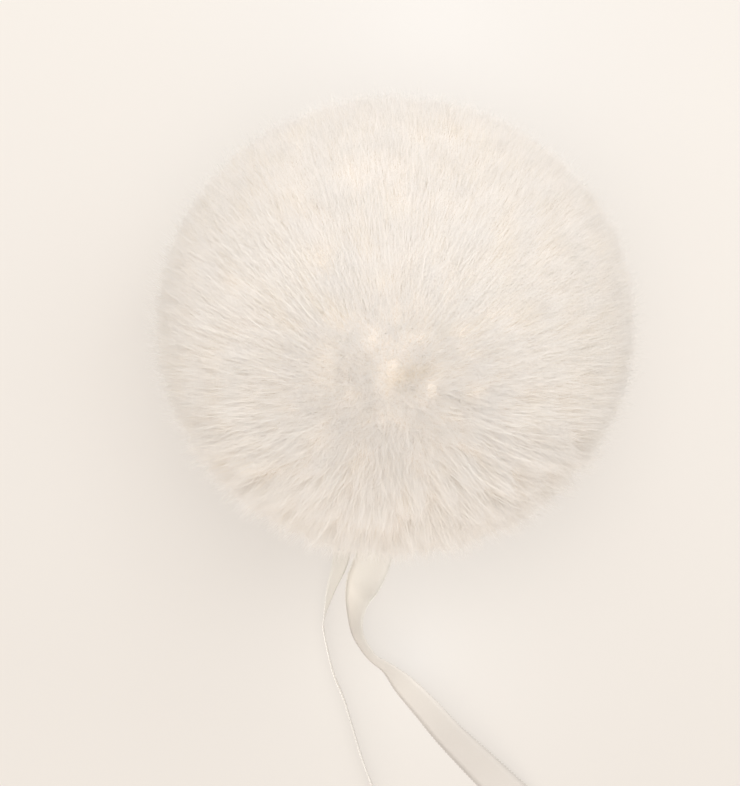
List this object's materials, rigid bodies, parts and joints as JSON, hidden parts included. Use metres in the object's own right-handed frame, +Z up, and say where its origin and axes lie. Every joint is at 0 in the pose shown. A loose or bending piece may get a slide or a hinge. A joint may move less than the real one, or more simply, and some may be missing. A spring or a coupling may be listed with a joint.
{
  "type": "fur pom pom with ribbon ties",
  "caption": "Fluffy cream fur ball with a small flat spot to rest on, and narrow satin ribbon ties that trail from under its front.",
  "frame": {"origin": "the middle of the small flat spot that the ball rests on", "axes": "+Z up, square to the surface it lies on; the ribbon ties run towards -Y, and +X is to the right when they point to the viewer"},
  "size_m": [0.1554, 0.2729, 0.1281],
  "materials": {
    "fur": "long soft cream fur, matt, with paler tips and a yellower root",
    "ribbon": "narrow cream satin ribbon with a soft sheen and looped edges"
  },
  "bodies": {
    "root": {"pompom": "fur", "tie_left": "ribbon", "tie_right": "ribbon"}
  },
  "joints": []
}
